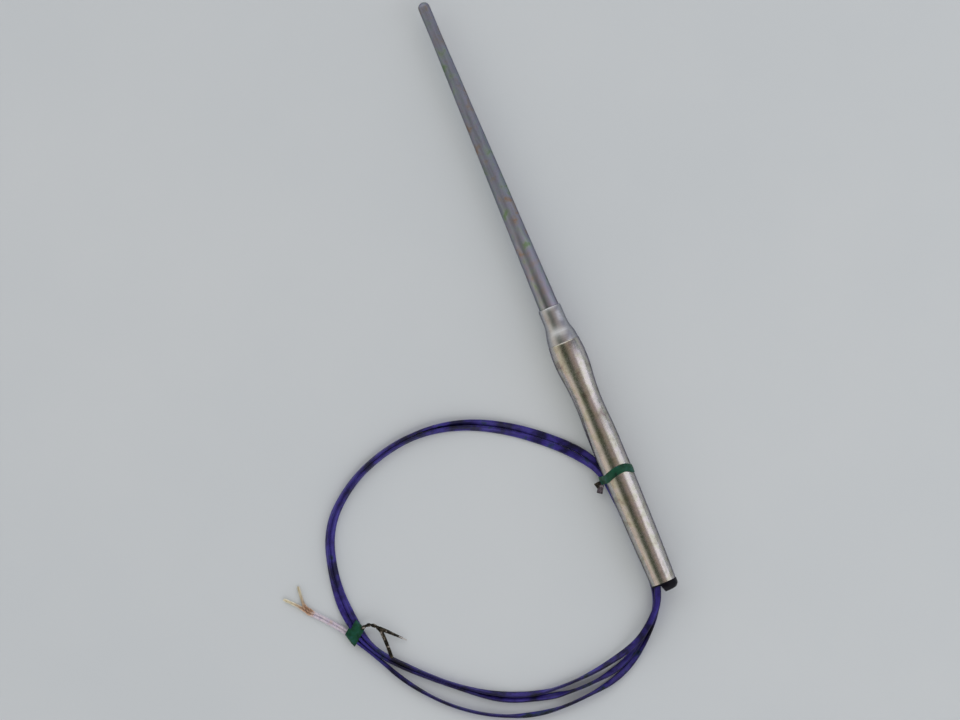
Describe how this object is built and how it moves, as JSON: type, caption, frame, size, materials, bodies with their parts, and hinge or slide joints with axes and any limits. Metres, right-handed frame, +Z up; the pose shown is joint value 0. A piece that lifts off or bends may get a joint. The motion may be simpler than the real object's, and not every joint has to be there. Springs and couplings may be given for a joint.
{
  "type": "thermocouple probe",
  "caption": "Hand-held thermocouple probe: tapered steel stem in a flared steel handle, with a flat lead coiled beside it and held by twist ties.",
  "frame": {"origin": "middle of the probe's length, on the surface it lies on, below its axis; the coiled lead is left out", "axes": "+Y along the probe towards the sensing tip, +Z up from the surface, +X to the right, so the coil lies on the -X side"},
  "size_m": [0.1589, 0.3009, 0.0146],
  "materials": {
    "stem_steel": "dull, slightly mottled by heat",
    "bush_steel": "fine turned",
    "handle_steel": "polished",
    "seal_rubber": "moulded satin",
    "lead_jacket": "soft gloss",
    "core_insulation": "smooth",
    "bare_wire": "twisted bare strands, tinned at the tips",
    "tie_plastic": "thin film over wire",
    "thermo_alloy": "drawn nickel alloy",
    "bead_ceramic": "unglazed",
    "ferrule_metal": "crimped",
    "sleeve_plastic": "shrunk on"
  },
  "bodies": {
    "root": {"stem_sheath": "stem_steel", "reducing_bush": "bush_steel", "handle_tube": "handle_steel", "end_seal": "seal_rubber", "lead_cable": "lead_jacket", "free_core_positive": "core_insulation", "free_core_negative": "core_insulation", "bare_end_positive": "bare_wire", "bare_end_negative": "bare_wire", "handle_tie": "tie_plastic", "coil_tie": "tie_plastic", "hot_junction": "thermo_alloy", "positive_leg": "thermo_alloy", "negative_leg": "thermo_alloy", "insulator_bead_01": "bead_ceramic", "insulator_bead_02": "bead_ceramic", "insulator_bead_03": "bead_ceramic", "insulator_bead_04": "bead_ceramic", "insulator_bead_05": "bead_ceramic", "insulator_bead_06": "bead_ceramic", "insulator_bead_07": "bead_ceramic", "insulator_bead_08": "bead_ceramic", "insulator_bead_09": "bead_ceramic", "insulator_bead_10": "bead_ceramic", "insulator_bead_11": "bead_ceramic", "insulator_bead_12": "bead_ceramic", "insulator_bead_13": "bead_ceramic", "insulator_bead_14": "bead_ceramic", "positive_splice": "ferrule_metal", "negative_splice": "ferrule_metal", "positive_splice_sleeve": "sleeve_plastic", "negative_splice_sleeve": "sleeve_plastic", "inner_core_positive": "core_insulation", "inner_core_negative": "core_insulation"}
  },
  "joints": []
}
